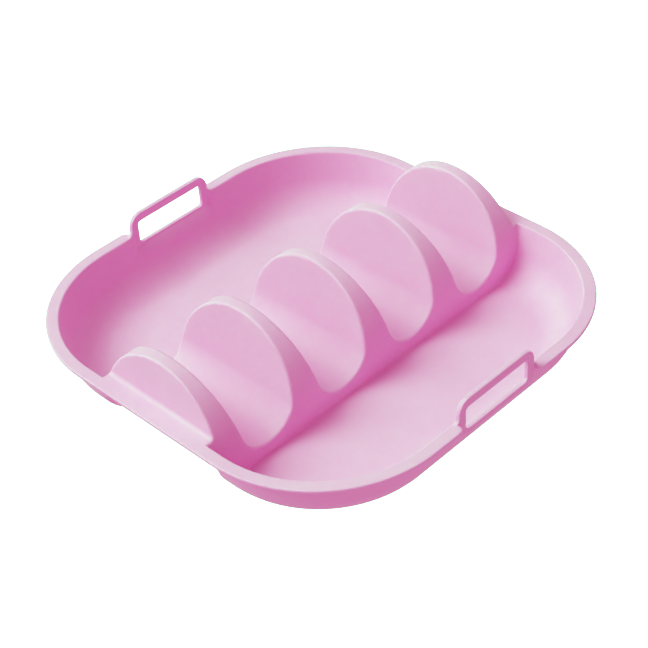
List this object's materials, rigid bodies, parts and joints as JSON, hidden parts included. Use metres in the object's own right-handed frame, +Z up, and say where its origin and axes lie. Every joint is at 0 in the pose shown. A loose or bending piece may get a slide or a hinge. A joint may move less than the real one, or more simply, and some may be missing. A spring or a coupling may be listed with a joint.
{
  "type": "divided baking tray",
  "caption": "Rounded-square silicone baking tray: a hollow ridge of upright dividers splits the pan, round channels cross it, and two loop handles flex at the rim.",
  "frame": {"origin": "centre of the underside, on the surface that the tray rests on", "axes": "+Z up; the ridge and its row of dividers run along Y; the handles are at -X (left) and +X (right)"},
  "size_m": [0.2, 0.2, 0.0471],
  "materials": {
    "silicone": "matte, smooth moulded silicone with a soft sheen"
  },
  "bodies": {
    "tray": {"left_pan": "silicone", "right_pan": "silicone", "front_rim": "silicone", "back_rim": "silicone", "channel_1": "silicone", "channel_2": "silicone", "channel_3": "silicone", "channel_4": "silicone", "divider_1": "silicone", "divider_2": "silicone", "divider_3": "silicone", "divider_4": "silicone", "divider_5": "silicone", "left_handle_base": "silicone", "right_handle_base": "silicone"},
    "left_handle": {"left_handle": "silicone"},
    "right_handle": {"right_handle": "silicone"}
  },
  "joints": [
    {"name": "left_handle_flex", "type": "hinge", "parent": "tray", "child": "left_handle", "pos_m": [-0.09565, 0, 0.0304], "axis": [0, -1, 0], "range_deg": [-60, 60], "stiffness_Nm_per_rad": 0.0033},
    {"name": "right_handle_flex", "type": "hinge", "parent": "tray", "child": "right_handle", "pos_m": [0.09565, 0, 0.0304], "axis": [0, 1, 0], "range_deg": [-60, 60], "stiffness_Nm_per_rad": 0.0033}
  ]
}
